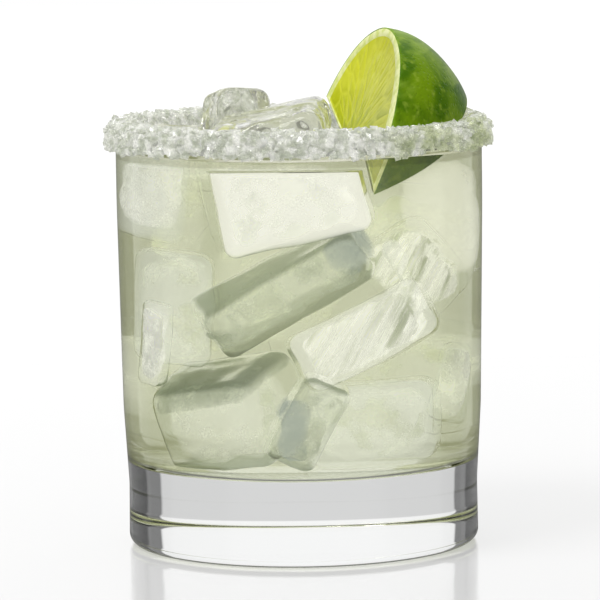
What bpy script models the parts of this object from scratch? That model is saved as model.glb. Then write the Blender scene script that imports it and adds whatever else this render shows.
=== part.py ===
"""Margarita over ice in a heavy-based tumbler with a salted rim and a lime wedge.

Metres, +Z up, standing on z = 0 with the axis of the tumbler at x = y = 0.
The front, from which the lime shows its cut face, is -Y.
"""

import math
import random

import bmesh
import bpy
from mathutils import Matrix, Vector, noise

for old in list(bpy.data.objects):
    bpy.data.objects.remove(old, do_unlink=True)

# Tumbler
HEIGHT = 0.102
RIM_RADIUS = 0.045
FOOT_RADIUS = 0.0433
FOOT_ROUND = 0.0025
WALL = 0.0023
FLOOR_Z = 0.0205
SEGMENTS = 64

# Drink
LEVEL = 0.0970
GAP = 0.0003

# Salt crust on the lip
CRUST_TOP = 0.1042
CRUST_OUTSIDE = 0.0021
CRUST_INSIDE = 0.0012
CRUST_OUTER_FOOT = 0.0985
CRUST_INNER_FOOT = 0.0995
GRAINS = 165
GRAIN_SIZE = 0.00155

# Lime: a spheroid cut by two planes through its middle
LIME_CENTRE = Vector((0.0118, -0.0020, 0.0983))
LIME_AXIS = Vector((0.692, 0.626, 0.359)).normalized()
LIME_FACE = Vector((-0.888, -0.279, 0.365)).normalized()
LIME_UNDERSIDE = Vector((0.276, 0.363, -0.890)).normalized()
LIME_RADIUS = 0.0280
LIME_HALF_LENGTH = 0.0337
PITH = 0.0017
FLESH_SINK = 0.0003


def material(name, colour, roughness, transmission=0.0, ior=1.45):
    made = bpy.data.materials.new(name)
    made.use_nodes = True
    shader = made.node_tree.nodes["Principled BSDF"]
    shader.inputs["Base Color"].default_value = (*colour, 1.0)
    shader.inputs["Roughness"].default_value = roughness
    shader.inputs["Transmission Weight"].default_value = transmission
    shader.inputs["IOR"].default_value = ior
    made.diffuse_color = (*colour, 1.0)
    return made


def new_object(name, mesh_source, slot, smooth=True):
    mesh = bpy.data.meshes.new(name)
    bmesh.ops.recalc_face_normals(mesh_source, faces=mesh_source.faces)
    mesh_source.to_mesh(mesh)
    mesh_source.free()
    for face in mesh.polygons:
        face.use_smooth = smooth
    made = bpy.data.objects.new(name, mesh)
    bpy.context.scene.collection.objects.link(made)
    if slot:
        mesh.materials.append(slot)
    return made


def apply_modifiers(thing):
    """Turns the evaluated shape into the object's own mesh."""
    bpy.context.view_layer.update()
    graph = bpy.context.evaluated_depsgraph_get()
    made = bpy.data.meshes.new_from_object(thing.evaluated_get(graph))
    thing.modifiers.clear()
    thing.data = made


def boolean(thing, other, operation="DIFFERENCE", solver="EXACT"):
    """One Boolean with an object or a collection, applied at once."""
    modifier = thing.modifiers.new("cut", "BOOLEAN")
    modifier.operation = operation
    modifier.solver = solver
    if isinstance(other, bpy.types.Collection):
        modifier.operand_type = "COLLECTION"
        modifier.collection = other
    else:
        modifier.object = other
    apply_modifiers(thing)


def lathe(profile, wobble=None):
    """A closed solid turned from points (radius, z). A point at radius 0 becomes one pole."""
    shape = bmesh.new()
    rings = []
    for radius, z in profile:
        if radius == 0:
            rings.append([shape.verts.new((0, 0, z))])
            continue
        ring = []
        for step in range(SEGMENTS):
            angle = 2 * math.pi * step / SEGMENTS
            r, height = wobble(angle, radius, z) if wobble else (radius, z)
            ring.append(shape.verts.new((r * math.cos(angle), r * math.sin(angle), height)))
        rings.append(ring)
    closed = len(rings[0]) > 1
    pairs = list(zip(rings, rings[1:]))
    if closed:
        pairs.append((rings[-1], rings[0]))
    for low, high in pairs:
        for step in range(SEGMENTS):
            after = (step + 1) % SEGMENTS
            if len(low) == 1:
                shape.faces.new((low[0], high[step], high[after]))
            elif len(high) == 1:
                shape.faces.new((low[after], high[0], low[step]))
            else:
                shape.faces.new((low[step], low[after], high[after], high[step]))
    return shape


# Materials
glass_clear = material("glass_clear", (0.93, 0.96, 0.94), 0.03, 1.0, 1.52)
drink_lime = material("drink_lime", (0.72, 0.76, 0.52), 0.08)
salt_white = material("salt_white", (0.86, 0.86, 0.85), 0.45)
lime_green = material("lime_green", (0.36, 0.52, 0.06), 0.40)
ice_frosted = material("ice_frosted", (0.86, 0.91, 0.88), 0.12)

# Tumbler: a thick solid base, nearly straight sides and a rounded lip
outer = [
    (0.0, 0.0),
    (FOOT_RADIUS - FOOT_ROUND, 0.0),
    (FOOT_RADIUS - 0.0013, 0.0004),
    (FOOT_RADIUS - 0.0004, 0.0013),
    (FOOT_RADIUS, 0.0027),
    (FOOT_RADIUS, 0.0065),
    (FOOT_RADIUS - 0.0002, 0.0110),
    (FOOT_RADIUS, 0.0165),
    (FOOT_RADIUS + 0.0004, 0.0210),
    (FOOT_RADIUS + 0.0008, 0.0290),
    (RIM_RADIUS - 0.0007, 0.0420),
    (RIM_RADIUS - 0.0004, 0.0620),
    (RIM_RADIUS, 0.0840),
    (RIM_RADIUS, HEIGHT - 0.0012),
    (RIM_RADIUS - 0.0004, HEIGHT - 0.0003),
    (RIM_RADIUS - WALL / 2, HEIGHT),
]
inner = [
    (RIM_RADIUS - WALL + 0.0004, HEIGHT - 0.0003),
    (RIM_RADIUS - WALL, HEIGHT - 0.0012),
    (RIM_RADIUS - WALL, 0.0840),
    (RIM_RADIUS - WALL - 0.0004, 0.0600),
    (RIM_RADIUS - WALL - 0.0009, 0.0400),
    (RIM_RADIUS - WALL - 0.0013, FLOOR_Z + 0.0090),
    (RIM_RADIUS - WALL - 0.0020, FLOOR_Z + 0.0042),
    (RIM_RADIUS - WALL - 0.0034, FLOOR_Z + 0.0017),
    (RIM_RADIUS - WALL - 0.0060, FLOOR_Z + 0.0004),
    (0.0, FLOOR_Z),
]
glass = new_object("glass", lathe(outer + inner), glass_clear)


def spheroid_wedge(grow):
    """The lime wedge with every wall moved outwards by grow."""
    shape = bmesh.new()
    bmesh.ops.create_icosphere(shape, subdivisions=5, radius=1.0)
    wide = LIME_RADIUS + grow
    size = Matrix.Diagonal((wide, wide, LIME_HALF_LENGTH + grow, 1.0))
    turn = LIME_AXIS.to_track_quat("Z", "Y").to_matrix().to_4x4()
    bmesh.ops.transform(shape, matrix=turn @ size, verts=shape.verts)
    for point in shape.verts:
        lump = noise.noise(point.co * 60) * 0.0006
        point.co += point.co.normalized() * lump
    for normal in (LIME_FACE, LIME_UNDERSIDE):
        everything = shape.verts[:] + shape.edges[:] + shape.faces[:]
        bmesh.ops.bisect_plane(
            shape,
            geom=everything,
            plane_co=normal * grow,
            plane_no=normal,
            clear_outer=True,
            dist=1e-6,
        )
        rim = [edge for edge in shape.edges if edge.is_boundary]
        bmesh.ops.edgeloop_fill(shape, edges=rim)
    bmesh.ops.translate(shape, vec=LIME_CENTRE, verts=shape.verts)
    bmesh.ops.recalc_face_normals(shape, faces=shape.faces)
    return shape


def step_in(shape, face, middle, share, sink):
    """Extrudes one flat face towards a point in its plane, then below the plane."""
    normal = face.normal.copy()
    inside = bmesh.ops.extrude_discrete_faces(shape, faces=[face])["faces"][0]
    for point in inside.verts:
        point.co += (middle - point.co) * share - normal * sink
    return inside


# Lime wedge: the flesh lies a little under the pith on both cut faces
wedge = spheroid_wedge(0.0)
wedge.normal_update()
for normal in (LIME_FACE, LIME_UNDERSIDE):
    cut = [face for face in wedge.faces if face.normal.dot(normal) > 0.999 and len(face.verts) > 12][0]
    middle = LIME_CENTRE.lerp(cut.calc_center_median(), 0.25)
    cut = step_in(wedge, cut, middle, PITH / LIME_RADIUS, 0.0)
    wedge.normal_update()
    step_in(wedge, cut, middle, 0.012, FLESH_SINK)
lime_wedge = new_object("lime_wedge", wedge, lime_green, smooth=False)

lime_room = new_object("lime_room", spheroid_wedge(GAP), None)
lime_room.hide_render = True
lime_room.display_type = "WIRE"


def ice_block(size, taper, turn_degrees, centre, grow, seed):
    """A cube half melted: tapered, with round edges and faces that are not quite flat."""
    shape = bmesh.new()
    bmesh.ops.create_cube(shape, size=1.0)
    for point in shape.verts:
        point.co.x *= size[0] * (taper if point.co.z > 0 else 1.0) + 2 * grow
        point.co.y *= size[1] * (taper if point.co.z > 0 else 1.0) + 2 * grow
        point.co.z *= size[2] + 2 * grow
    bmesh.ops.bevel(
        shape,
        geom=shape.edges[:],
        offset=0.0028,
        offset_type="OFFSET",
        segments=2,
        profile=0.5,
        affect="EDGES",
        clamp_overlap=True,
        material=-1,
    )
    flat = [edge for edge in shape.edges if edge.calc_length() > 0.006]
    bmesh.ops.subdivide_edges(shape, edges=flat, cuts=2, use_grid_fill=True)
    for point in shape.verts:
        place = point.co * 70 + Vector((seed, seed * 2.0, 0))
        point.co += point.co.normalized() * noise.noise(place) * 0.0009
    angles = [math.radians(value) for value in turn_degrees]
    turn = Matrix.Rotation(angles[2], 4, "Z") @ Matrix.Rotation(angles[0], 4, "X")
    turn = turn @ Matrix.Rotation(angles[1], 4, "Y")
    bmesh.ops.transform(shape, matrix=Matrix.Translation(centre) @ turn, verts=shape.verts)
    bmesh.ops.triangulate(shape, faces=[face for face in shape.faces if len(face.verts) > 4])
    return shape


# Ice that stands out of the drink
ICE = {
    "ice_front": ((0.0290, 0.0270, 0.0290), 0.97, (5, -11, -7), (-0.0050, -0.0070, 0.0925), 3.0),
    "ice_back": ((0.0165, 0.0180, 0.0240), 0.84, (-6, 5, 22), (-0.0160, 0.0210, 0.0985), 11.0),
    "ice_left": ((0.0145, 0.0230, 0.0260), 0.96, (4, 5, 4), (-0.0300, -0.0020, 0.0898), 7.0),
}
rooms = [lime_room]
for name, (size, taper, degrees, centre, seed) in ICE.items():
    new_object(name, ice_block(size, taper, degrees, centre, 0.0, seed), ice_frosted)
    room = new_object(name + "_room", ice_block(size, taper, degrees, centre, GAP, seed), None)
    room.hide_render = True
    room.display_type = "WIRE"
    rooms.append(room)

# Drink: fills the tumbler up to its level, with room for the ice and the lime
fill = [(radius - GAP, z) for radius, z in reversed(inner[2:-1])]
surface_radius = RIM_RADIUS - WALL - GAP
body = [(0.0, FLOOR_Z + GAP)]
body += [(radius, z + (GAP if z < 0.03 else 0.0)) for radius, z in fill]
body += [(surface_radius, LEVEL), (0.0, LEVEL)]
drink = new_object("drink", lathe(body), drink_lime)
for room in rooms:
    boolean(drink, room)

# Salt crust: an uneven ring astride the lip, with coarse grains fused on
lip_out = RIM_RADIUS + GAP
lip_in = RIM_RADIUS - WALL - GAP
crust = [
    (lip_in, CRUST_INNER_FOOT),
    (lip_in, HEIGHT + GAP),
    (lip_out, HEIGHT + GAP),
    (lip_out, CRUST_OUTER_FOOT),
    (lip_out + CRUST_OUTSIDE * 0.7, CRUST_OUTER_FOOT - 0.0003),
    (lip_out + CRUST_OUTSIDE, CRUST_OUTER_FOOT + 0.0018),
    (lip_out + CRUST_OUTSIDE * 0.9, CRUST_TOP - 0.0012),
    (lip_out - 0.0004, CRUST_TOP),
    (lip_in + 0.0004, CRUST_TOP),
    (lip_in - CRUST_INSIDE, CRUST_TOP - 0.0014),
    (lip_in - CRUST_INSIDE, CRUST_INNER_FOOT + 0.0008),
]


def uneven(angle, radius, z):
    """Only the free sides of the crust wander; the sides along the lip stay true."""
    if lip_in <= radius <= lip_out and CRUST_INNER_FOOT <= z <= HEIGHT + GAP:
        if z > HEIGHT - 0.002:
            return radius, z
    place = Vector((math.cos(angle) * 3, math.sin(angle) * 3, z * 300))
    swing = noise.noise(place * 1.7)
    if z < HEIGHT - 0.002 and lip_in <= radius <= lip_out:
        return radius, z + 0.0009 * swing
    if radius > RIM_RADIUS:
        return radius + 0.0006 * swing + 0.0003, z + 0.0007 * swing
    if radius < RIM_RADIUS - WALL:
        return radius - 0.0003 * swing, z + 0.0007 * swing
    return radius, z + 0.0006 * swing


salt_rim = new_object("salt_rim", lathe(crust, uneven), salt_white, smooth=False)
pile = bpy.data.collections.new("grains")
bpy.context.scene.collection.children.link(pile)
rng = random.Random(41)
for count in range(GRAINS):
    angle = 2 * math.pi * (count + rng.uniform(-0.4, 0.4)) / GRAINS
    where = rng.random()
    if where < 0.50:
        radius = lip_out + CRUST_OUTSIDE + rng.uniform(-0.0002, 0.0006)
        z = rng.uniform(CRUST_OUTER_FOOT + 0.0004, CRUST_TOP - 0.0012)
    elif where < 0.80:
        radius = rng.uniform(lip_in + 0.0002, lip_out + 0.0010)
        z = CRUST_TOP + rng.uniform(-0.0002, 0.0004)
    else:
        radius = lip_in - CRUST_INSIDE + 0.0001
        z = rng.uniform(CRUST_INNER_FOOT + 0.0012, CRUST_TOP - 0.0016)
    shape = bmesh.new()
    bmesh.ops.create_cube(shape, size=GRAIN_SIZE * rng.uniform(0.80, 1.12))
    stretch = [rng.uniform(0.75, 1.10) for side in range(3)]
    spin = Matrix.Rotation(rng.uniform(0, 3), 4, "X") @ Matrix.Rotation(rng.uniform(0, 3), 4, "Y")
    place = Matrix.Translation((radius * math.cos(angle), radius * math.sin(angle), z))
    bmesh.ops.scale(shape, vec=stretch, verts=shape.verts)
    bmesh.ops.transform(shape, matrix=place @ spin, verts=shape.verts)
    grain = new_object("grain", shape, None, smooth=False)
    bpy.context.scene.collection.objects.unlink(grain)
    pile.objects.link(grain)
boolean(salt_rim, pile, "UNION", "MANIFOLD")
for grain in list(pile.objects):
    bpy.data.objects.remove(grain, do_unlink=True)
bpy.data.collections.remove(pile)
boolean(salt_rim, lime_room)
for face in salt_rim.data.polygons:
    face.material_index = 0
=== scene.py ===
# %% [markdown]
# # A margarita over ice
#
# The real thing is a heavy-based tumbler filled almost to the brim with a
# cloudy lime drink and ice cubes. Coarse salt sticks to the lip and a wedge of
# lime stands in the drink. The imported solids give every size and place. This
# script gives them their looks: refraction, haze, frost, grains and peel.

# %% Load the solids
import math
import random

import bmesh
import bpy
from mathutils import Matrix, Vector, noise


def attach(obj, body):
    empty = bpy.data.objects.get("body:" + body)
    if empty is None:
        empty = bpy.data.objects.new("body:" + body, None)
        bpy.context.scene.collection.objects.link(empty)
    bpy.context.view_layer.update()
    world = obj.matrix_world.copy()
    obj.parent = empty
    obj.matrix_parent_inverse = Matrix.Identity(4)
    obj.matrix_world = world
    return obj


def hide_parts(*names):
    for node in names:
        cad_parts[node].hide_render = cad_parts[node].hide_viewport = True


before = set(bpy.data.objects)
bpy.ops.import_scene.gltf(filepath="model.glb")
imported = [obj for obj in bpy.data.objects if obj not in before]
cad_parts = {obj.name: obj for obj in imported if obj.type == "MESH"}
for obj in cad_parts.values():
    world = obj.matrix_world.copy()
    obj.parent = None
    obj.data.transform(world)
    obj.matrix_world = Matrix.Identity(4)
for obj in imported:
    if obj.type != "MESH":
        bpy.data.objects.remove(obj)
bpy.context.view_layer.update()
print("nodes:", sorted(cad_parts))

# %% [markdown]
# ## Sizes
#
# These repeat the driving sizes of the solids, in metres. Knowing them by name
# lets each piece below be placed against the next one without measuring.

# %% Sizes of the drink
HEIGHT = 0.102
RIM_RADIUS = 0.045
FOOT_RADIUS = 0.0433
WALL = 0.0023
FLOOR_Z = 0.0205
LEVEL = 0.0970

LIME_CENTRE = Vector((0.0118, -0.0020, 0.0983))
LIME_AXIS = Vector((0.692, 0.626, 0.359)).normalized()
LIME_FACE = Vector((-0.888, -0.279, 0.365)).normalized()
LIME_UNDERSIDE = Vector((0.276, 0.363, -0.890)).normalized()
LIME_RADIUS = 0.0280
LIME_HALF_LENGTH = 0.0337


def srgb(red, green, blue):
    """A colour picked on screen, 0 to 255, as the linear values that shaders take."""
    linear = []
    for value in (red, green, blue):
        part = value / 255
        linear.append(part / 12.92 if part < 0.04045 else ((part + 0.055) / 1.055) ** 2.4)
    return (*linear, 1.0)


# %% [markdown]
# ## Camera
#
# The photograph was taken with a long lens from about a metre away, a little
# above the lip. A long lens keeps the sides of the glass almost parallel. The
# camera is turned by under a degree, as the real one was.

# %% Camera
CAMERA_PLACE = Vector((0.0, -1.0, 0.177))
CAMERA_TARGET = Vector((-0.0002, 0.0, 0.0596))
CAMERA_ROLL = math.radians(0.8)

camera_data = bpy.data.cameras.new("camera")
camera_data.lens = 244.6
camera_data.sensor_width = 36.0
camera_data.clip_start = 0.05
camera = bpy.data.objects.new("camera", camera_data)
bpy.context.scene.collection.objects.link(camera)
looking = (CAMERA_TARGET - CAMERA_PLACE).to_track_quat("-Z", "Y").to_matrix().to_4x4()
roll = Matrix.Rotation(-CAMERA_ROLL, 4, "Z")
camera.matrix_world = Matrix.Translation(CAMERA_PLACE) @ looking @ roll
bpy.context.scene.camera = camera
print("camera at", tuple(round(value, 3) for value in CAMERA_PLACE))

# %% [markdown]
# ## Node helpers
#
# Every look here is worked out by nodes: colours mixed by noise, values mapped
# by ramps. Short functions add them, so that each finish below reads as a few
# lines. An effect that several finishes share is a group, made once.

# %% Node helpers
def node(tree, kind, **sockets):
    """A node with some of its inputs set, by name."""
    made = tree.nodes.new(kind)
    for name, value in sockets.items():
        made.inputs[name.replace("_", " ")].default_value = value
    return made


def math_node(tree, operation, first, second=0.5, clamp=False):
    """Maths on links or plain numbers."""
    made = tree.nodes.new("ShaderNodeMath")
    made.operation = operation
    made.use_clamp = clamp
    for slot, value in enumerate((first, second)):
        if isinstance(value, (int, float)):
            made.inputs[slot].default_value = value
        else:
            tree.links.new(value, made.inputs[slot])
    return made.outputs[0]


def ramp(tree, value, low, high, to_low=0.0, to_high=1.0, smooth=True):
    """Maps low..high to to_low..to_high, and holds the ends."""
    made = tree.nodes.new("ShaderNodeMapRange")
    made.interpolation_type = "SMOOTHSTEP" if smooth else "LINEAR"
    tree.links.new(value, made.inputs["Value"])
    made.inputs["From Min"].default_value = low
    made.inputs["From Max"].default_value = high
    made.inputs["To Min"].default_value = to_low
    made.inputs["To Max"].default_value = to_high
    return made.outputs["Result"]


def object_place(tree):
    """Where a point lies in its piece, which here is also its place in metres."""
    return tree.nodes.new("ShaderNodeTexCoord").outputs["Object"]


def axes_of(tree, vector):
    """The X, Y and Z of a vector, each as a value."""
    made = tree.nodes.new("ShaderNodeSeparateXYZ")
    tree.links.new(vector, made.inputs[0])
    return made.outputs


def noise_node(tree, vector, scale, detail=2.0, rough=0.5):
    """Soft clouds, 0 to 1."""
    made = node(tree, "ShaderNodeTexNoise", Scale=scale, Detail=detail, Roughness=rough)
    tree.links.new(vector, made.inputs["Vector"])
    return made.outputs["Fac"]


def blend_colour(tree, share, first, second):
    """Mixes two colours, each a plain colour or a link."""
    made = tree.nodes.new("ShaderNodeMix")
    made.data_type = "RGBA"
    tree.links.new(share, made.inputs["Factor"])
    for slot, value in (("A", first), ("B", second)):
        socket = [item for item in made.inputs if item.name == slot and item.type == "RGBA"][0]
        if isinstance(value, tuple):
            socket.default_value = value
        else:
            tree.links.new(value, socket)
    return [item for item in made.outputs if item.type == "RGBA"][0]


def new_group(name, inputs, outputs):
    """An empty shader group with named sockets, each (name, kind)."""
    made = bpy.data.node_groups.new(name, "ShaderNodeTree")
    for side, sockets in (("INPUT", inputs), ("OUTPUT", outputs)):
        for title, kind in sockets:
            made.interface.new_socket(name=title, in_out=side, socket_type="NodeSocket" + kind)
    return made, made.nodes.new("NodeGroupInput").outputs, made.nodes.new("NodeGroupOutput").inputs


def vector_node(tree, operation, first, second=None, scale=None):
    """Vector maths on links or plain vectors."""
    made = tree.nodes.new("ShaderNodeVectorMath")
    made.operation = operation
    for slot, value in enumerate((first, second)):
        if isinstance(value, Vector):
            made.inputs[slot].default_value = value
        elif value is not None:
            tree.links.new(value, made.inputs[slot])
    if scale is not None:
        tree.links.new(scale, made.inputs["Scale"])
    gives_number = operation in ("LENGTH", "DOT_PRODUCT")
    return made.outputs["Value" if gives_number else "Vector"]


def fill_with_haze(tree, colour, density):
    """Fills a closed piece with a glowing haze, which hides what is behind by its own colour."""
    absorb = node(tree, "ShaderNodeVolumeAbsorption", Density=density)
    absorb.inputs["Color"].default_value = (0.0, 0.0, 0.0, 1.0)
    glow = node(tree, "ShaderNodeEmission", Strength=density)
    glow.inputs["Color"].default_value = colour
    both = tree.nodes.new("ShaderNodeAddShader")
    tree.links.new(absorb.outputs[0], both.inputs[0])
    tree.links.new(glow.outputs[0], both.inputs[1])
    tree.links.new(both.outputs[0], tree.nodes["Material Output"].inputs["Volume"])


def bump(tree, shader, height, strength, distance):
    """Feeds a height to the shader's Normal."""
    made = node(tree, "ShaderNodeBump", Strength=strength, Distance=distance)
    tree.links.new(height, made.inputs["Height"])
    tree.links.new(made.outputs[0], shader.inputs["Normal"])


def new_finish(name, roughness, **sockets):
    """A material with plain values on its Principled shader."""
    made = bpy.data.materials.new(name)
    made.use_nodes = True
    shader = made.node_tree.nodes["Principled BSDF"]
    shader.inputs["Roughness"].default_value = roughness
    for socket, value in sockets.items():
        shader.inputs[socket.replace("_", " ")].default_value = value
    return made, made.node_tree, shader


print("node helpers ready")

# %% [markdown]
# ## Light
#
# Glass is lit from behind: a wide white wall at the back, dark sides and a soft
# fill from the front. Clear glass then shows white in the middle, and dark edges
# where it bends the view round to the sides. Those edges draw its shape. All of
# it is in the world, by compass direction, so it also holds seen from behind.

# %% Studio surroundings
world = bpy.data.worlds.new("studio")
bpy.context.scene.world = world
world.use_nodes = True
tree = world.node_tree
tree.nodes.clear()
axes = axes_of(tree, tree.nodes.new("ShaderNodeTexCoord").outputs["Generated"])

# How far a direction faces the white wall: 1 straight at it, 0 to the sides.
WALL_TURN = math.radians(3.0)
across = math_node(tree, "MULTIPLY", axes["X"], axes["X"])
along = math_node(tree, "MULTIPLY", axes["Y"], axes["Y"])
level_length = math_node(tree, "SQRT", math_node(tree, "ADD", across, along))
level_length = math_node(tree, "MAXIMUM", level_length, 0.001)
turned_x = math_node(tree, "MULTIPLY", axes["X"], -math.sin(WALL_TURN))
turned_y = math_node(tree, "MULTIPLY", axes["Y"], math.cos(WALL_TURN))
towards_wall = math_node(tree, "ADD", turned_x, turned_y)
facing_back = math_node(tree, "DIVIDE", towards_wall, level_length)

# The wall, its grey flanks, and panels beside, in front and overhead.
back_wall = ramp(tree, facing_back, 0.675, 0.71)
flank = ramp(tree, facing_back, 0.53, 0.58, 0.03, 0.20)
beside = ramp(tree, facing_back, 0.24, 0.12, 0.0, 0.28)
front_fill = ramp(tree, facing_back, -0.35, -0.75, 0.0, 0.62)
overhead = ramp(tree, axes["Z"], 0.55, 0.95, 0.0, 0.85)

# The wall is darker towards its foot, and nearly dark steeply below the table.
wall_foot = ramp(tree, axes["Z"], -0.05, 0.03, 0.68, 0.96)
table_edge = ramp(tree, axes["Z"], -0.40, -0.24, 0.22, 1.0)
straight_down = ramp(tree, axes["Z"], -0.72, -0.85, 0.0, 0.8)
steep = math_node(tree, "MAXIMUM", table_edge, straight_down)

# What the base mirrors from below the table is dimmed, as the table is in its way.
TABLE_SHADE = 0.72
below = ramp(tree, axes["Z"], 0.0, -0.04)
path = tree.nodes.new("ShaderNodeLightPath").outputs
mirrored = math_node(
    tree, "SUBTRACT", path["Is Glossy Ray"], path["Is Transmission Ray"], clamp=True
)
shaded = math_node(tree, "MULTIPLY", below, mirrored)
dim = math_node(tree, "SUBTRACT", 1.0, math_node(tree, "MULTIPLY", shaded, TABLE_SHADE))
for factor in (wall_foot, steep, dim):
    back_wall = math_node(tree, "MULTIPLY", back_wall, factor)
shine = math_node(tree, "MAXIMUM", back_wall, front_fill)
for part in (overhead, flank, beside):
    shine = math_node(tree, "MAXIMUM", shine, part)
studio = node(tree, "ShaderNodeBackground")
tree.links.new(shine, studio.inputs["Strength"])
studio.inputs["Color"].default_value = (1.0, 1.0, 1.0, 1.0)
backdrop = node(tree, "ShaderNodeBackground", Strength=1.0)
backdrop.inputs["Color"].default_value = (1.0, 1.0, 1.0, 1.0)
seen = tree.nodes.new("ShaderNodeLightPath")
either = tree.nodes.new("ShaderNodeMixShader")
tree.links.new(seen.outputs["Is Camera Ray"], either.inputs[0])
tree.links.new(studio.outputs[0], either.inputs[1])
tree.links.new(backdrop.outputs[0], either.inputs[2])
last = tree.nodes.new("ShaderNodeOutputWorld")
tree.links.new(either.outputs[0], last.inputs["Surface"])

bpy.context.scene.view_settings.view_transform = "Standard"
bpy.context.scene.view_settings.look = "None"


def soft_light(name, place, target, size, power):
    """A square area light that looks at a point."""
    data = bpy.data.lights.new(name, "AREA")
    data.shape = "SQUARE"
    data.size = size
    data.energy = power
    lamp = bpy.data.objects.new(name, data)
    aim = (Vector(target) - Vector(place)).to_track_quat("-Z", "Y").to_matrix().to_4x4()
    lamp.matrix_world = Matrix.Translation(place) @ aim
    bpy.context.scene.collection.objects.link(lamp)
    return lamp


key_light = soft_light("key", (-0.45, -0.35, 0.85), (0.0, 0.0, 0.09), 0.45, 6.0)
print("studio lit by surroundings and", key_light.name)

# %% [markdown]
# ## Floor
#
# A white polished sheet. It is bright enough to melt into the backdrop, and it
# mirrors a faint picture of the foot, as the real one does.

# %% Floor
floor_mesh = bmesh.new()
bmesh.ops.create_grid(floor_mesh, x_segments=1, y_segments=1, size=3.0)
floor_data = bpy.data.meshes.new("floor")
floor_mesh.to_mesh(floor_data)
floor_mesh.free()
floor = bpy.data.objects.new("floor", floor_data)
bpy.context.scene.collection.objects.link(floor)
floor.location.z = -0.00005
floor_paint = bpy.data.materials.new("floor_white")
floor_paint.use_nodes = True
floor_tree = floor_paint.node_tree
floor_shader = floor_tree.nodes["Principled BSDF"]
floor_shader.inputs["Base Color"].default_value = (0.30, 0.30, 0.30, 1.0)
floor_shader.inputs["Roughness"].default_value = 0.10
floor_shader.inputs["Emission Color"].default_value = (1.0, 1.0, 1.0, 1.0)
floor_shader.inputs["Emission Strength"].default_value = 0.40
floor_data.materials.append(floor_paint)
floor.visible_transmission = False
floor.visible_glossy = False

# %% [markdown]
# ## Building helpers
#
# Round pieces are turned: a line of points is spun about the axis. Corners are
# rounded first, because real glass has no sharp edge and refraction shows it.

# %% Turning helpers
def rounded_path(corners):
    """Points (radius, z) on straight runs joined by arcs, from (radius, z, bend, steps)."""
    path = []
    for index, corner in enumerate(corners):
        here = Vector(corner[:2])
        bend, steps = (corner[2], corner[3]) if len(corner) > 2 else (0.0, 0)
        if not bend:
            path.append(tuple(here))
            continue
        before = (Vector(corners[index - 1][:2]) - here).normalized()
        after = (Vector(corners[index + 1][:2]) - here).normalized()
        half = before.angle(after) / 2
        cut = bend / math.tan(half)
        start = here + before * cut
        end = here + after * cut
        middle = here + (before + after).normalized() * (bend / math.sin(half))
        for step in range(steps + 1):
            share = step / steps
            spoke = (start - middle).lerp(end - middle, share).normalized() * bend
            path.append(tuple(middle + spoke))
    return path


def make_piece(name, shape, *finishes, smooth=True):
    """Turns a bmesh into an object with its materials."""
    bmesh.ops.recalc_face_normals(shape, faces=shape.faces)
    data = bpy.data.meshes.new(name)
    shape.to_mesh(data)
    shape.free()
    for face in data.polygons:
        face.use_smooth = smooth
    for finish in finishes:
        data.materials.append(finish)
    piece = bpy.data.objects.new(name, data)
    bpy.context.scene.collection.objects.link(piece)
    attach(piece, "root")
    return piece


def turned(path, steps):
    """Spins a path of (radius, z) points about the upright axis."""
    shape = bmesh.new()
    points = [shape.verts.new((radius, 0.0, z)) for radius, z in path]
    lines = [shape.edges.new(pair) for pair in zip(points, points[1:])]
    bmesh.ops.spin(
        shape,
        geom=points + lines,
        cent=(0, 0, 0),
        axis=(0, 0, 1),
        angle=2 * math.pi,
        steps=steps,
        use_merge=True,
        use_duplicate=False,
    )
    bmesh.ops.remove_doubles(shape, verts=shape.verts, dist=1e-6)
    return shape


# %% [markdown]
# ## Tumbler
#
# Pressed soda-lime glass: a solid base a fifth of the height, nearly straight
# walls and a fire-polished lip. It is one closed wall, so light bends on the
# way in and again on the way out, which makes the bright base and dark edges.
# Its underside is pressed a little hollow, so that it stands on a ring.

# %% Glass material
def clear_finish(name, colour, roughness, bending):
    """Something to see through, with its index of refraction."""
    return new_finish(
        name, roughness, Base_Color=colour, Metallic=0.0, Transmission_Weight=1.0, IOR=bending
    )


glass_clear, _, _ = clear_finish("glass_clear", (0.985, 0.992, 0.988, 1.0), 0.0, 1.52)

# %% Tumbler
TURN_STEPS = 160
LIP_BEND = 0.0010
inner_corners = [
    (RIM_RADIUS - WALL, HEIGHT, LIP_BEND, 6),
    (RIM_RADIUS - WALL, HEIGHT - 0.0014),
    (RIM_RADIUS - WALL, 0.0840),
    (RIM_RADIUS - WALL - 0.0009, 0.0400, 0.20, 6),
    (RIM_RADIUS - WALL - 0.0016, FLOOR_Z + 0.0003, 0.0040, 14),
    (0.0, FLOOR_Z),
]
outer_corners = [
    (0.0, 0.0012),
    (FOOT_RADIUS - 0.0060, 0.0009, 0.0020, 6),
    (FOOT_RADIUS - 0.0038, 0.0, 0.0015, 6),
    (FOOT_RADIUS, 0.0, 0.0026, 12),
    (FOOT_RADIUS - 0.0002, 0.0150, 0.030, 8),
    (FOOT_RADIUS + 0.0009, 0.0340, 0.080, 8),
    (RIM_RADIUS, 0.0840, 0.60, 6),
    (RIM_RADIUS, HEIGHT - 0.0014),
    (RIM_RADIUS, HEIGHT, LIP_BEND, 6),
]
tumbler_path = rounded_path(outer_corners + inner_corners)
tumbler = make_piece("tumbler", turned(tumbler_path, TURN_STEPS), glass_clear)
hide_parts("glass")
print("tumbler:", len(tumbler.data.polygons), "faces")
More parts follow.
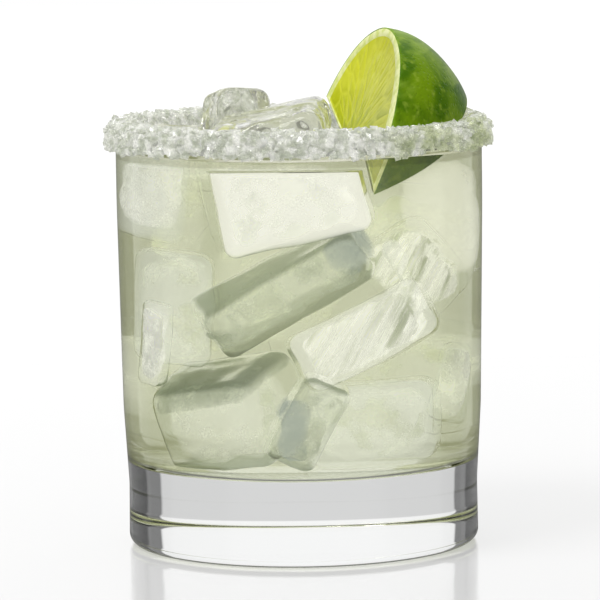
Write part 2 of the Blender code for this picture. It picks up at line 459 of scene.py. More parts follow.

# %% [markdown]
# ## Drink
#
# The liquid reaches a little into the glass wall, because a gap of air between
# the two would flash silver. Lime juice is cloudy, so far ice fades into it.
# Scattering would need many samples. A volume that absorbs and glows by the
# same amount hides what is behind it just as well, and has no noise. At the
# wall the surface creeps up into a rim, and a darker band of painted shade runs
# along it there.

# %% Drink material
DRINK_TINT = (0.97, 0.98, 0.90, 1.0)
BAND_PAINTED_SHADE = (0.62, 0.62, 0.52, 1.0)
drink_lime, drink_tree, drink_shader = clear_finish("drink_lime", DRINK_TINT, 0.0, 1.34)
fill_with_haze(drink_tree, srgb(184, 188, 130), 10.5)
# Painted shade: a darker band on the upright wall just under the surface.
height = axes_of(drink_tree, object_place(drink_tree))["Z"]
at_edge = ramp(drink_tree, height, LEVEL - 0.0016, LEVEL - 0.0010)
normal = drink_tree.nodes.new("ShaderNodeNewGeometry").outputs["Normal"]
upright = ramp(drink_tree, axes_of(drink_tree, normal)["Z"], 0.30, 0.10)
painted_shade_band = math_node(drink_tree, "MULTIPLY", at_edge, upright)
tint_and_painted_band = blend_colour(drink_tree, painted_shade_band, DRINK_TINT, BAND_PAINTED_SHADE)
drink_tree.links.new(tint_and_painted_band, drink_shader.inputs["Base Color"])
print("drink finish:", drink_lime.name)

# %% Drink
REACH = 0.00025
INSIDE = RIM_RADIUS - WALL
drink_corners = [
    (0.0, FLOOR_Z - REACH),
    (INSIDE - 0.0016 + REACH, FLOOR_Z + 0.0003 - REACH, 0.0040, 14),
    (INSIDE - 0.0009 + REACH, 0.0400, 0.20, 6),
    (INSIDE + REACH, 0.0840),
    (INSIDE + REACH, LEVEL + 0.0016),
    (INSIDE + REACH, LEVEL + 0.0017),
    (INSIDE - 0.0002, LEVEL + 0.0015),
    (INSIDE - 0.0007, LEVEL + 0.0009),
    (INSIDE - 0.0015, LEVEL + 0.0004),
    (INSIDE - 0.0028, LEVEL + 0.0001),
    (INSIDE - 0.0042, LEVEL),
    (0.0, LEVEL),
]
drink = make_piece("drink_body", turned(rounded_path(drink_corners), TURN_STEPS), drink_lime)
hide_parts("drink")
print("drink:", len(drink.data.polygons), "faces")

# %% [markdown]
# ## Ice
#
# Ice in a drink bends light far less than ice in air, so under the surface its
# refraction is set relative to the drink. Frozen bubbles make it milky, which
# is a haze in the volume. Wet faces in the air get soft dents instead.

# %% Ice material
ICE_TINT = (0.99, 1.0, 0.99, 1.0)
ice_wet, wet_tree, wet_shader = clear_finish("ice_wet", (0.94, 0.945, 0.90, 1.0), 0.05, 1.31)
dents = node(wet_tree, "ShaderNodeTexVoronoi", Scale=210.0)
dents.feature = "SMOOTH_F1"
wet_tree.links.new(object_place(wet_tree), dents.inputs["Vector"])
bump(wet_tree, wet_shader, dents.outputs["Distance"], 0.9, 0.0022)
fill_with_haze(wet_tree, srgb(250, 250, 240), 4.5)


def cloudy_ice(name, bending, colour, density, painted_shade=(1.0, 1.0, 1.0, 1.0)):
    """Ice under the surface: a haze of trapped air, and upper faces that can take a painted shade."""
    made, tree, shader = clear_finish(name, ICE_TINT, 0.14, bending)
    normal = tree.nodes.new("ShaderNodeNewGeometry").outputs["Normal"]
    # Painted shade: faces that turn upward take the darker shade colour.
    painted_shade_on_top = ramp(tree, axes_of(tree, normal)["Z"], 0.25, 0.75)
    tree.links.new(blend_colour(tree, painted_shade_on_top, ICE_TINT, painted_shade), shader.inputs["Base Color"])
    fill_with_haze(tree, colour, density)
    return made


ice_cream = cloudy_ice("ice_cream", 0.97, srgb(253, 251, 242), 170.0)
ice_white = cloudy_ice("ice_white", 0.978, srgb(250, 249, 242), 45.0)
ice_mist = cloudy_ice("ice_mist", 0.993, srgb(236, 238, 234), 32.0)
# ice_grey's upper faces are darkened by painted shade.
ice_grey = cloudy_ice("ice_grey", 0.965, srgb(190, 195, 176), 10.0, srgb(120, 130, 114))
ice_pale = cloudy_ice("ice_pale", 0.995, srgb(230, 232, 210), 8.0)
print("ice finishes:", [made.name for made in (ice_cream, ice_white, ice_mist, ice_grey, ice_pale)])

# %% [markdown]
# ## Trapped air
#
# Water freezes from the outside in and pushes its air to the middle, in
# threads and veils. A rounder blob inside each cube carries them. Its skin is
# drawn by noise and fades where it turns away, so the blob has no outline.

# %% Trapped air
veil_group, veil_in, veil_out = new_group(
    "trapped_air",
    (
        ("Point", "Vector"),
        ("Scale", "Float"),
        ("Dark", "Color"),
        ("Light", "Color"),
        ("Thinness", "Float"),
    ),
    (("Colour", "Color"), ("Veil", "Float")),
)
fine = node(veil_group, "ShaderNodeTexNoise", Detail=4.0, Roughness=0.6)
veil_group.links.new(veil_in["Point"], fine.inputs["Vector"])
veil_group.links.new(veil_in["Scale"], fine.inputs["Scale"])
broad = node(veil_group, "ShaderNodeTexNoise", Detail=2.0)
veil_group.links.new(veil_in["Point"], broad.inputs["Vector"])
broad_scale = math_node(veil_group, "MULTIPLY", veil_in["Scale"], 0.4)
veil_group.links.new(broad_scale, broad.inputs["Scale"])
tone = ramp(veil_group, broad.outputs["Fac"], 0.35, 0.65)
shades = blend_colour(veil_group, tone, veil_in["Dark"], veil_in["Light"])
veil_group.links.new(shades, veil_out["Colour"])
cleared = math_node(veil_group, "SUBTRACT", fine.outputs["Fac"], veil_in["Thinness"])
veil_group.links.new(ramp(veil_group, cleared, 0.0, 0.24), veil_out["Veil"])


FIBRE_LEAN = math.radians(28)


def cloud_finish(name, dark, light, scale, thinness, density, stretch=(1.0, 1.0, 1.0)):
    """A milky core: veils on its skin, which glow with painted light and fade where it turns away,
    and haze inside.
    """
    # The core glows in its own colours at a fixed strength: painted light.
    made, tree, shader = new_finish(name, 0.9, Specular_IOR_Level=0.0, Emission_Strength=0.55)
    turn = node(tree, "ShaderNodeMapping", Scale=stretch, Rotation=(0.0, FIBRE_LEAN, 0.0))
    turn.vector_type = "TEXTURE"
    tree.links.new(object_place(tree), turn.inputs["Vector"])
    veils = tree.nodes.new("ShaderNodeGroup")
    veils.node_tree = veil_group
    tree.links.new(turn.outputs[0], veils.inputs["Point"])
    settings = {"Scale": scale, "Dark": dark, "Light": light, "Thinness": thinness}
    for socket, value in settings.items():
        veils.inputs[socket].default_value = value
    tree.links.new(veils.outputs["Colour"], shader.inputs["Base Color"])
    tree.links.new(veils.outputs["Colour"], shader.inputs["Emission Color"])
    facing = node(tree, "ShaderNodeLayerWeight", Blend=0.5)
    soft = ramp(tree, facing.outputs["Facing"], 0.85, 0.35)
    tree.links.new(math_node(tree, "MULTIPLY", soft, veils.outputs["Veil"]), shader.inputs["Alpha"])
    fill_with_haze(tree, light, density)
    return made


# Each cloud: darker and lighter tone, scale of the veils, thinness, density inside.
CLOUDS = {
    "white": (srgb(234, 235, 226), srgb(252, 251, 246), 160.0, 0.40, 60.0),
    "fibre": (srgb(190, 195, 170), srgb(254, 253, 244), 170.0, 0.38, 50.0, (0.25, 0.8, 2.5)),
    "grey": (srgb(150, 159, 140), srgb(212, 216, 194), 120.0, 0.44, 38.0),
    "slate": (srgb(120, 134, 136), srgb(136, 148, 148), 120.0, 0.50, 120.0),
    "painted_shade": (srgb(126, 137, 110), srgb(140, 149, 124), 120.0, 0.50, 110.0),
    "soft": (srgb(214, 218, 196), srgb(242, 243, 228), 110.0, 0.46, 50.0),
    "milk": (srgb(238, 238, 218), srgb(252, 252, 234), 60.0, 0.60, 100.0),
}
clouds = {name: cloud_finish("cloud_" + name, *values) for name, values in CLOUDS.items()}
print("cloud finishes:", sorted(clouds))

# %% [markdown]
# ## Ice shapes
#
# A melting cube keeps flat faces but loses its corners, and its sides taper as
# the mould's did. Each is bevelled, divided into a grid, moved a little by
# noise and turned. Points that would pass the wall or floor of the tumbler are
# pushed back, as a real cube rests against them.

# %% Ice shapes
WALL_INSIDE = INSIDE - 0.0012
MELT = 0.0034
BROAD_SWELL = 0.0009
FINE_SWELL = 0.00025


def ice_block(size, taper, turn_degrees, centre, seed, melt=None):
    """A cube half melted: tapered, with round edges and faces that are not quite flat."""
    if melt is None:
        melt = min(MELT, 0.2 * min(size))
    shape = bmesh.new()
    bmesh.ops.create_cube(shape, size=1.0)
    for point in shape.verts:
        narrow = taper if point.co.z > 0 else 1.0
        point.co.x *= size[0] * narrow
        point.co.y *= size[1] * narrow
        point.co.z *= size[2]
    bmesh.ops.bevel(
        shape,
        geom=shape.edges[:],
        offset=melt,
        offset_type="OFFSET",
        segments=4,
        profile=0.5,
        affect="EDGES",
        clamp_overlap=True,
        material=-1,
    )
    long_edges = [edge for edge in shape.edges if edge.calc_length() > 0.005]
    bmesh.ops.subdivide_edges(shape, edges=long_edges, cuts=9, use_grid_fill=True)
    for point in shape.verts:
        place = point.co * 70 + Vector((seed, seed * 2.0, 0))
        point.co += point.co.normalized() * noise.noise(place) * BROAD_SWELL
        point.co += point.co.normalized() * noise.noise(place * 3.1) * FINE_SWELL
    angles = [math.radians(value) for value in turn_degrees]
    turn = Matrix.Rotation(angles[2], 4, "Z") @ Matrix.Rotation(angles[0], 4, "X")
    turn = turn @ Matrix.Rotation(angles[1], 4, "Y")
    bmesh.ops.transform(shape, matrix=Matrix.Translation(centre) @ turn, verts=shape.verts)
    for point in shape.verts:
        away = math.hypot(point.co.x, point.co.y)
        if away > WALL_INSIDE:
            point.co.x *= WALL_INSIDE / away
            point.co.y *= WALL_INSIDE / away
        point.co.z = max(point.co.z, FLOOR_Z + 0.0006)
    return shape


# %% [markdown]
# ## Cubes that stand out of the drink
#
# These three take their sizes and places from the solids. A level cut splits
# each at the surface of the drink, so that both parts refract rightly.

# %% Cubes that stand out of the drink
STANDING = {
    "ice_front": ((0.0290, 0.0270, 0.0290), 0.97, (5, -11, -7), (-0.0050, -0.0070, 0.0925), 3.0),
    "ice_back": ((0.0165, 0.0180, 0.0240), 0.84, (-6, 5, 22), (-0.0160, 0.0210, 0.0985), 11.0),
    "ice_left": ((0.0145, 0.0230, 0.0260), 0.96, (4, 5, 4), (-0.0300, -0.0020, 0.0898), 7.0),
}


HAIR = 0.0001
CLOUD_SINKS = 0.0030


def half_of(shape, height, keep_above):
    """Cuts a shape level at a height and closes the cut."""
    everything = shape.verts[:] + shape.edges[:] + shape.faces[:]
    bmesh.ops.bisect_plane(
        shape,
        geom=everything,
        plane_co=(0, 0, height),
        plane_no=(0, 0, 1),
        clear_inner=keep_above,
        clear_outer=not keep_above,
        dist=1e-7,
    )
    rim = [edge for edge in shape.edges if edge.is_boundary]
    bmesh.ops.edgeloop_fill(shape, edges=rim)
    return shape


def cloud_blob(size, degrees, centre, seed, share, roundness=0.32):
    """A smaller, rounder and lumpier cube inside the ice, to carry the veils."""
    small = [side * share for side in size]
    shape = ice_block(small, 1.0, degrees, centre, seed + 100.0, melt=min(small) * roundness)
    for point in shape.verts:
        away = point.co - Vector(centre)
        point.co += away.normalized() * noise.noise(point.co * 260 + Vector((seed, 0, 0))) * 0.0016
    return shape


for name, (size, taper, degrees, centre, seed) in STANDING.items():
    by_wall = name == "ice_left"
    upper = half_of(ice_block(size, taper, degrees, centre, seed), LEVEL + HAIR, True)
    lower = half_of(ice_block(size, taper, degrees, centre, seed), LEVEL - HAIR, False)
    top_piece = make_piece(name + "_top", upper, ice_wet)
    low_piece = make_piece(name + "_low", lower, ice_mist if by_wall else ice_pale)
    core = (centre[0] + (0.0010 if by_wall else 0.0), centre[1], centre[2])
    blob = half_of(cloud_blob(size, degrees, core, seed, 0.76), LEVEL - CLOUD_SINKS, False)
    cloud = make_piece(name + "_cloud", blob, clouds["white"])
    for piece in (top_piece, low_piece, cloud):
        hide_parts(name)

# %% [markdown]
# ## Cubes that are sunk
#
# These exist only here. The front ones were placed one by one from the
# picture, and the back ones fill the glass as a scoop of ice would.

# %% Cubes that are sunk
SUNK = {
    "front_block": ((0.0335, 0.0130, 0.0250), 0.98, (2, -13, -3), (-0.0025, -0.0290, 0.0895), 61.0),
    "slab": ((0.0390, 0.0180, 0.0130), 1.0, (14, -34, 4), (-0.0032, -0.0195, 0.0655), 5.0),
    "right": ((0.0180, 0.0180, 0.0230), 0.96, (4, -35, 6), (0.0235, -0.0130, 0.0685), 13.0),
    "scratched": ((0.0330, 0.0150, 0.0150), 1.0, (-6, -27, 3), (0.0140, -0.0265, 0.0548), 17.0),
    "corner": ((0.0280, 0.0250, 0.0230), 0.96, (20, -12, -34), (-0.0150, -0.0180, 0.0350), 19.0),
    "leaning": ((0.0120, 0.0140, 0.0220), 0.95, (4, 28, 4), (0.0010, -0.0285, 0.0340), 23.0),
    "floor_block": ((0.0270, 0.0200, 0.0195), 0.98, (0, -2, 6), (0.0145, -0.0130, 0.0320), 29.0),
    "right_chip": ((0.0110, 0.0110, 0.0190), 0.85, (0, 12, 25), (0.0335, -0.0150, 0.0410), 31.0),
    "left_chip": ((0.0080, 0.0110, 0.0200), 0.90, (0, 8, -30), (-0.0335, -0.0190, 0.0520), 37.0),
    "left_tall": ((0.0170, 0.0180, 0.0280), 0.97, (0, 3, -8), (-0.0255, -0.0080, 0.0600), 41.0),
    "deep_one": ((0.0260, 0.0240, 0.0260), 0.97, (20, 15, 30), (-0.0050, 0.0160, 0.0620), 43.0),
    "deep_two": ((0.0250, 0.0250, 0.0240), 0.97, (-12, 25, 12), (0.0180, 0.0150, 0.0420), 47.0),
    "deep_three": ((0.0240, 0.0240, 0.0240), 0.97, (10, -20, 50), (-0.0200, 0.0160, 0.0400), 53.0),
    "deep_four": ((0.0240, 0.0230, 0.0220), 0.97, (8, 12, 20), (0.0180, 0.0140, 0.0760), 59.0),
}
LOOKS = {
    "front_block": (ice_cream, "white"),
    "slab": (ice_grey, "grey"),
    "corner": (ice_grey, "soft"),
    "leaning": (ice_grey, "grey"),
    "scratched": (ice_white, "fibre"),
    "left_chip": (ice_white, "white"),
    "left_tall": (ice_mist, "soft"),
    "floor_block": (ice_mist, "soft"),
    "right": (ice_pale, "fibre"),
}
NEAR_SURFACE = 0.085
BLOCK_SINKS = 0.0028
CORE_SINKS = 0.0038
for name, (size, taper, degrees, centre, seed) in SUNK.items():
    finish, veils = LOOKS.get(name, (ice_pale, "soft"))
    block = ice_block(size, taper, degrees, centre, seed)
    blob = cloud_blob(size, degrees, centre, seed, 0.84)
    if centre[2] > NEAR_SURFACE:
        block = half_of(block, LEVEL - BLOCK_SINKS, False)
        blob = half_of(blob, LEVEL - CORE_SINKS, False)
    piece = make_piece("ice_" + name, block, finish)
    cloud = make_piece("cloud_" + name, blob, clouds[veils])
print("ice:", len(STANDING), "standing and", len(SUNK), "sunk")

# %% [markdown]
# ## Clouds at the ends of the cubes
#
# Some cubes are denser or darker at one end. Smaller blobs of thick haze sit
# there. The dark ones are painted shade inside a cube, where paint on its face
# would look flat.

# %% Clouds at the ends of the cubes
END_CLOUDS = {
    "slab_right": ((0.0100, 0.0130, 0.0105), (14, -34, 4), (0.0102, -0.0215, 0.0748), 71.0, "slate"),
    "slab_left": ((0.0080, 0.0120, 0.0090), (14, -34, 4), (-0.0165, -0.0200, 0.0570), 73.0, "grey"),
    "leaning_left": ((0.0060, 0.0110, 0.0150), (4, 4, 4), (-0.0022, -0.0285, 0.0325), 83.0, "slate"),
    # A thin dark sheet on the corner block's top face: painted shade.
    "corner_top": (
        (0.0250, 0.0236, 0.0052), (20, -12, -34), (-0.0180, -0.0200, 0.0426), 101.0, "painted_shade"
    ),
    "right_band": ((0.0036, 0.0070, 0.0120), (0, -24, 0), (0.0212, -0.0190, 0.0708), 89.0, "white"),
    "upper_left": ((0.0080, 0.0120, 0.0220), (0, 0, 0), (-0.0212, 0.0090, 0.0820), 97.0, "soft"),
    "upper_right": ((0.0190, 0.0150, 0.0270), (0, -12, 0), (0.0300, -0.0060, 0.0800), 79.0, "milk"),
}
ROUND = 0.46
for name, (size, degrees, centre, seed, veils) in END_CLOUDS.items():
    blob = cloud_blob(size, degrees, centre, seed, 1.0, ROUND)
    cloud = make_piece("cloud_" + name, blob, clouds[veils])
print("clouds at ends:", len(END_CLOUDS))

# %% [markdown]
# ## Lime
#
# The wedge is an egg-shaped fruit cut twice through its middle. Each cut shows
# three rings: a thread of peel, white pith and wet flesh. The rings are stepped
# in from the cut's outline, so they follow the fruit however it is cut.

# %% Lime body
PITH = 0.0017
FLESH_SINK = 0.0003


def lime_body():
    """The fruit's outside, with soft lumps, cut by the two planes of the wedge."""
    shape = bmesh.new()
    bmesh.ops.create_icosphere(shape, subdivisions=6, radius=1.0)
    size = Matrix.Diagonal((LIME_RADIUS, LIME_RADIUS, LIME_HALF_LENGTH, 1.0))
    turn = LIME_AXIS.to_track_quat("Z", "Y").to_matrix().to_4x4()
    bmesh.ops.transform(shape, matrix=turn @ size, verts=shape.verts)
    for point in shape.verts:
        point.co += point.co.normalized() * noise.noise(point.co * 60) * 0.0006
    for normal in (LIME_FACE, LIME_UNDERSIDE):
        everything = shape.verts[:] + shape.edges[:] + shape.faces[:]
        bmesh.ops.bisect_plane(
            shape, geom=everything, plane_co=(0, 0, 0), plane_no=normal, clear_outer=True, dist=1e-6
        )
        bmesh.ops.edgeloop_fill(shape, edges=[edge for edge in shape.edges if edge.is_boundary])
    bmesh.ops.translate(shape, vec=LIME_CENTRE, verts=shape.verts)
    bmesh.ops.recalc_face_normals(shape, faces=shape.faces)
    shape.normal_update()
    return shape


def step_in(shape, face, middle, share, sink, finish, lean=0.0):
    """Extrudes a flat face towards a point in its plane. Lean makes the step wider on one side."""
    normal = face.normal.copy()
    aside = normal.cross(Vector((0.0, 0.0, 1.0))).normalized()
    inside = bmesh.ops.extrude_discrete_faces(shape, faces=[face])["faces"][0]
    for point in inside.verts:
        beyond = max(0.0, -(point.co - middle).dot(aside))
        point.co += (middle - point.co) * share - normal * sink + aside * beyond * lean
    inside.material_index = finish
    return inside


# %% [markdown]
# ## Lime coordinates
#
# Peel, pith and flesh are all drawn by their place in the fruit, so a group
# works it out once: the offset from the middle, a space where sacs grow
# outwards like wedges, and one where lines run from pole to pole.

# %% Lime coordinates
lime_group, _, lime_out = new_group(
    "lime_coordinates", (), (("Offset", "Vector"), ("Sacs", "Vector"), ("Meridians", "Vector"))
)
offset = vector_node(lime_group, "SUBTRACT", object_place(lime_group), LIME_CENTRE)
direction = vector_node(lime_group, "NORMALIZE", offset)
distance = vector_node(lime_group, "LENGTH", offset)
SACS_PER_METRE = 110.0
SACS_AROUND = 4.5
outwards = math_node(lime_group, "MULTIPLY", distance, SACS_PER_METRE)
reach = math_node(lime_group, "ADD", outwards, SACS_AROUND)
lime_group.links.new(offset, lime_out["Offset"])
lime_group.links.new(vector_node(lime_group, "SCALE", direction, scale=reach), lime_out["Sacs"])
along_axis = vector_node(lime_group, "DOT_PRODUCT", offset, LIME_AXIS)
on_axis = vector_node(lime_group, "SCALE", LIME_AXIS, scale=along_axis)
off_axis = vector_node(lime_group, "SUBTRACT", offset, on_axis)
around = vector_node(lime_group, "NORMALIZE", off_axis)
poleward = math_node(lime_group, "MULTIPLY", along_axis, 14.0)
slow = vector_node(lime_group, "SCALE", LIME_AXIS, scale=poleward)
lime_group.links.new(vector_node(lime_group, "ADD", around, slow), lime_out["Meridians"])


def lime_coordinates(tree):
    """The group that tells a finish where it is on the fruit."""
    made = tree.nodes.new("ShaderNodeGroup")
    made.node_tree = lime_group
    return made.outputs


# %% [markdown]
# ## Lime colours
#
# Layers of noise paint the peel: broad patches, pale streaks along the fruit
# and freckles, with pores as dents. The streaks are partly the fruit's own
# stripes and partly a painted highlight. Cells that stretch outwards are the
# juice sacs. A trace of glow on peel and flesh is painted light; in the flesh
# it stands for the light that passes through wet flesh.

# %% Lime colours
lime_peel, peel_tree, peel_shader = new_finish("lime_peel", 0.38, IOR=1.45, Specular_IOR_Level=0.10)
on_lime = lime_coordinates(peel_tree)
patches = noise_node(peel_tree, on_lime["Offset"], 95.0, 3.0)
# Pale streaks from pole to pole: partly the fruit's own stripes, partly a painted highlight.
stripes_and_highlight = noise_node(peel_tree, on_lime["Meridians"], 5.0, 3.0, 0.6)
freckles = noise_node(peel_tree, on_lime["Offset"], 420.0, 2.0)
patches = ramp(peel_tree, patches, 0.36, 0.64)
stripes_and_highlight = ramp(peel_tree, stripes_and_highlight, 0.50, 0.68, 0.0, 0.6)
freckles = ramp(peel_tree, freckles, 0.52, 0.72, 0.0, 0.5)
greens = blend_colour(peel_tree, patches, srgb(66, 106, 2), srgb(112, 146, 10))
greens = blend_colour(peel_tree, stripes_and_highlight, greens, srgb(140, 170, 56))
greens = blend_colour(peel_tree, freckles, greens, srgb(150, 176, 58))
peel_tree.links.new(greens, peel_shader.inputs["Base Color"])
# The peel glows a little in its own green: painted light.
peel_tree.links.new(greens, peel_shader.inputs["Emission Color"])
peel_shader.inputs["Emission Strength"].default_value = 0.10
pores = node(peel_tree, "ShaderNodeTexVoronoi", Scale=900.0)
peel_tree.links.new(on_lime["Offset"], pores.inputs["Vector"])
dimples = ramp(peel_tree, pores.outputs["Distance"], 0.0, 0.45)
bump(peel_tree, peel_shader, dimples, 0.35, 0.0003)

# The pith: pale threads, no shine.
lime_pith, pith_tree, pith_shader = new_finish("lime_pith", 0.5, IOR=1.40, Specular_IOR_Level=0.2)
on_lime = lime_coordinates(pith_tree)
threads = noise_node(pith_tree, on_lime["Offset"], 500.0, 3.0)
pale = ramp(pith_tree, threads, 0.35, 0.65)
creams = blend_colour(pith_tree, pale, srgb(218, 228, 132), srgb(244, 248, 186))
pith_tree.links.new(creams, pith_shader.inputs["Base Color"])
bump(pith_tree, pith_shader, threads, 0.3, 0.0002)

# The flesh: cells give each sac its own tone, and their walls show as pale lines.
# Its upper part is painted lighter, as light falling in from the top would make it.
lime_flesh, flesh_tree, flesh_shader = new_finish(
    "lime_flesh", 0.26, IOR=1.37, Specular_IOR_Level=0.12
)
on_lime = lime_coordinates(flesh_tree)
cells = node(flesh_tree, "ShaderNodeTexVoronoi", Scale=1.0, Randomness=0.9)
flesh_tree.links.new(on_lime["Sacs"], cells.inputs["Vector"])
walls = node(flesh_tree, "ShaderNodeTexVoronoi", Scale=1.0, Randomness=0.9)
walls.feature = "DISTANCE_TO_EDGE"
flesh_tree.links.new(on_lime["Sacs"], walls.inputs["Vector"])
patches = noise_node(flesh_tree, on_lime["Offset"], 110.0, 2.0)
grain = noise_node(flesh_tree, on_lime["Offset"], 330.0, 2.0)
# Painted light: the flesh is lighter towards the top of the cut, mixed with random patches.
upper = ramp(flesh_tree, axes_of(flesh_tree, on_lime["Offset"])["Z"], 0.004, 0.020)
patches_and_painted_top_light = ramp(flesh_tree, math_node(flesh_tree, "ADD", upper, patches), 0.45, 1.35)
sac_tones = axes_of(flesh_tree, cells.outputs["Color"])["X"]
sac_tones = ramp(flesh_tree, sac_tones, 0.3, 0.9, 0.0, 0.5)
sac_walls = ramp(flesh_tree, walls.outputs["Distance"], 0.14, 0.0, 0.0, 0.35)
flecks = ramp(flesh_tree, grain, 0.58, 0.76, 0.0, 0.25)
juice = blend_colour(flesh_tree, patches_and_painted_top_light, srgb(160, 170, 0), srgb(206, 210, 58))
juice = blend_colour(flesh_tree, sac_tones, juice, srgb(212, 214, 42))
juice = blend_colour(flesh_tree, sac_walls, juice, srgb(224, 227, 78))
juice = blend_colour(flesh_tree, flecks, juice, srgb(231, 233, 88))
flesh_tree.links.new(juice, flesh_shader.inputs["Base Color"])
flesh_tree.links.new(juice, flesh_shader.inputs["Emission Color"])
flesh_shader.inputs["Emission Strength"].default_value = 0.09
swell = ramp(flesh_tree, walls.outputs["Distance"], 0.0, 0.25)
bump(flesh_tree, flesh_shader, math_node(flesh_tree, "ADD", swell, grain), 0.3, 0.0005)
print("lime finishes:", lime_peel.name, lime_pith.name, lime_flesh.name)

# %% Lime wedge
wedge = lime_body()
for normal in (LIME_FACE, LIME_UNDERSIDE):
    flat = [face for face in wedge.faces if face.normal.dot(normal) > 0.999]
    cut = [face for face in flat if len(face.verts) > 12][0]
    middle = LIME_CENTRE.lerp(cut.calc_center_median(), 0.25)
    cut = step_in(wedge, cut, middle, 0.012, 0.0, 1)
    wedge.normal_update()
    cut = step_in(wedge, cut, middle, PITH / LIME_RADIUS, 0.0, 1, lean=0.09)
    wedge.normal_update()
    cut = step_in(wedge, cut, middle, 0.012, FLESH_SINK, 2)
lime = make_piece("lime_wedge_cut", wedge, lime_peel, lime_pith, lime_flesh)
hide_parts("lime_wedge")
print("lime wedge:", len(lime.data.polygons), "faces")

# %% [markdown]
# ## Salt
#
# Coarse salt sticks to the wet lip in a crust two or three grains deep. A bumpy
# ring stands for the imported lower grains, and thousands of loose ones cover it.
# All the grains are one mesh of small knocked-about cubes, which stays light.

# %% [markdown]
# ## Juice in the salt
#
# Beside the wedge the crust is wet with lime juice, so it is greener and
# darker there, in runs. Grains and crust share this, so it is one group.

# %% Juice in the salt
stain_group, stain_in, stain_out = new_group(
    "juice_stain", (("Colour", "Color"),), (("Colour", "Color"),)
)
stain_place = object_place(stain_group)
by_wedge = ramp(stain_group, axes_of(stain_group, stain_place)["X"], 0.012, 0.032)
runs = ramp(stain_group, noise_node(stain_group, stain_place, 170.0, 2.0), 0.36, 0.62)
by_wedge = math_node(stain_group, "MULTIPLY", by_wedge, runs)
stain = blend_colour(stain_group, by_wedge, (1.0, 1.0, 1.0, 1.0), (0.83, 0.86, 0.70, 1.0))
soaked = stain_group.nodes.new("ShaderNodeVectorMath")
soaked.operation = "MULTIPLY"
stain_group.links.new(stain_in["Colour"], soaked.inputs[0])
stain_group.links.new(stain, soaked.inputs[1])
stain_group.links.new(soaked.outputs[0], stain_out["Colour"])


def stained(tree, colour):
    """The colour, greener and darker beside the wedge, where juice has run into the salt."""
    made = tree.nodes.new("ShaderNodeGroup")
    made.node_tree = stain_group
    tree.links.new(colour, made.inputs["Colour"])
    return made.outputs["Colour"]


# %% Salt finish
SALT_BENDING = 1.54


def salt_finish(name, roughness, clearness, glow, scale, detail, edges, dark, light):
    """Cloudy crystal: two whites mixed by noise, with a trace of glow."""
    made, tree, shader = new_finish(
        name,
        roughness,
        IOR=SALT_BENDING,
        Transmission_Weight=clearness,
        Emission_Strength=glow,
    )
    clumps = noise_node(tree, object_place(tree), scale, detail)
    whites = stained(tree, blend_colour(tree, ramp(tree, clumps, *edges), dark, light))
    tree.links.new(whites, shader.inputs["Base Color"])
    tree.links.new(whites, shader.inputs["Emission Color"])
    return made, tree, shader, clumps


salt_grain, _, _, _ = salt_finish(
    "salt_grain", 0.10, 0.8, 0.08, 520.0, 2.0, (0.38, 0.62), srgb(226, 229, 218), srgb(255, 255, 252)
)
salt_packed, packed_tree, packed_shader, clumps = salt_finish(
    "salt_packed", 0.3, 0.75, 0.06, 420.0, 3.0, (0.35, 0.65), srgb(214, 216, 206), srgb(250, 250, 248)
)
bump(packed_tree, packed_shader, clumps, 0.8, 0.0008)
print("salt finishes:", salt_grain.name, salt_packed.name)

# %% Salt crust
CRUST_FOOT = 0.0987
CRUST_INNER_FOOT = 0.0995
lip_out = RIM_RADIUS + 0.00005
lip_in = INSIDE - 0.00005
crust_ring = turned(
    [
        (lip_in, CRUST_INNER_FOOT),
        (lip_in, HEIGHT),
        (lip_in + 0.0006, HEIGHT + 0.0001),
        (lip_out - 0.0006, HEIGHT + 0.0001),
        (lip_out, HEIGHT),
        (lip_out, CRUST_FOOT),
        (lip_out + 0.0008, CRUST_FOOT + 0.0002),
        (lip_out + 0.0012, CRUST_FOOT + 0.0012),
        (lip_out + 0.0014, HEIGHT - 0.0010),
        (lip_out + 0.0012, HEIGHT + 0.0006),
        (lip_out + 0.0003, HEIGHT + 0.0014),
        (RIM_RADIUS - WALL / 2, HEIGHT + 0.0017),
        (lip_in - 0.0001, HEIGHT + 0.0012),
        (lip_in - 0.0007, HEIGHT + 0.0002),
        (lip_in - 0.0008, CRUST_INNER_FOOT + 0.0008),
        (lip_in, CRUST_INNER_FOOT),
    ],
    360,
)
bmesh.ops.recalc_face_normals(crust_ring, faces=crust_ring.faces)
crust_ring.normal_update()
for point in crust_ring.verts:
    away = math.hypot(point.co.x, point.co.y)
    if lip_in - 1e-5 < away < lip_out + 1e-5 and point.co.z < HEIGHT + 0.0003:
        continue
    swell = noise.noise(point.co * 900) * 0.0005 + noise.noise(point.co * 200) * 0.0005
    point.co += point.normal * swell
crust = make_piece("salt_crust", crust_ring, salt_packed)


# %% [markdown]
# ## Salt grains
#
# Each grain is a small cube, stretched, turned and knocked about. Batches are
# joined into one mesh, which is quick. None lies where the wedge is.

# %% Salt grains
def inside_lime(point, margin):
    """True if a point lies in the wedge or closer to it than the margin."""
    offset = point - LIME_CENTRE
    along = offset.dot(LIME_AXIS)
    aside = math.sqrt(max(offset.length_squared - along * along, 0.0))
    near = (along / (LIME_HALF_LENGTH + margin)) ** 2 + (aside / (LIME_RADIUS + margin)) ** 2 < 1
    return near and offset.dot(LIME_FACE) < margin and offset.dot(LIME_UNDERSIDE) < margin


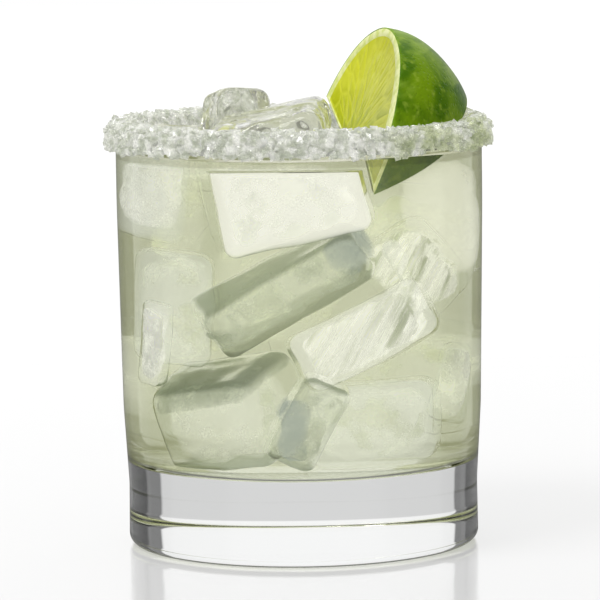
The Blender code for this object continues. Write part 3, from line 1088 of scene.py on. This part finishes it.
GRAIN_COUNT = 6500
BATCH = 100
ON_OUTSIDE = 0.46
ON_TOP = 0.30
SMALLEST = 0.0006
SPREAD = 0.0010
grain_rng = random.Random(17)
grains = bmesh.new()
one_batch = bpy.data.meshes.new("grain_batch")
made = 0
while made < GRAIN_COUNT:
    batch = bmesh.new()
    for _ in range(BATCH):
        angle = grain_rng.uniform(0, 2 * math.pi)
        where = grain_rng.random()
        sag = 0.0010 * noise.noise(Vector((math.cos(angle) * 5, math.sin(angle) * 5, 4.0)))
        if where < ON_OUTSIDE:
            radius = lip_out + 0.0013 + grain_rng.uniform(-0.0005, 0.0008)
            height = grain_rng.uniform(CRUST_FOOT - 0.0002 + sag, HEIGHT + 0.0012)
        elif where < ON_OUTSIDE + ON_TOP:
            radius = grain_rng.uniform(lip_in - 0.0004, lip_out + 0.0008)
            height = HEIGHT + 0.0017 + grain_rng.uniform(-0.0006, 0.0007)
        else:
            radius = lip_in - 0.0007 - grain_rng.uniform(-0.0004, 0.0006)
            height = grain_rng.uniform(CRUST_INNER_FOOT - 0.0004 + sag, HEIGHT + 0.0010)
        place = Vector((radius * math.cos(angle), radius * math.sin(angle), height))
        if inside_lime(place, 0.0006):
            continue
        size = SMALLEST + SPREAD * grain_rng.random() ** 1.7
        stretch = Matrix.Diagonal([size * grain_rng.uniform(0.7, 1.3) for side in range(3)] + [1.0])
        tumble = Matrix.Rotation(grain_rng.uniform(0, 6.3), 4, "X")
        tumble = tumble @ Matrix.Rotation(grain_rng.uniform(0, 6.3), 4, "Z")
        here = Matrix.Translation(place) @ tumble @ stretch
        for corner in bmesh.ops.create_cube(batch, size=1.0, matrix=here)["verts"]:
            corner.co += Vector([grain_rng.uniform(-0.16, 0.16) * size for side in range(3)])
        made += 1
    batch.to_mesh(one_batch)
    batch.free()
    grains.from_mesh(one_batch)
bpy.data.meshes.remove(one_batch)
salt = make_piece("salt_grains", grains, salt_grain, smooth=False)
for piece in (crust, salt):
    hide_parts("salt_rim")
print("salt:", made, "grains,", len(salt.data.polygons) * 2, "triangles")
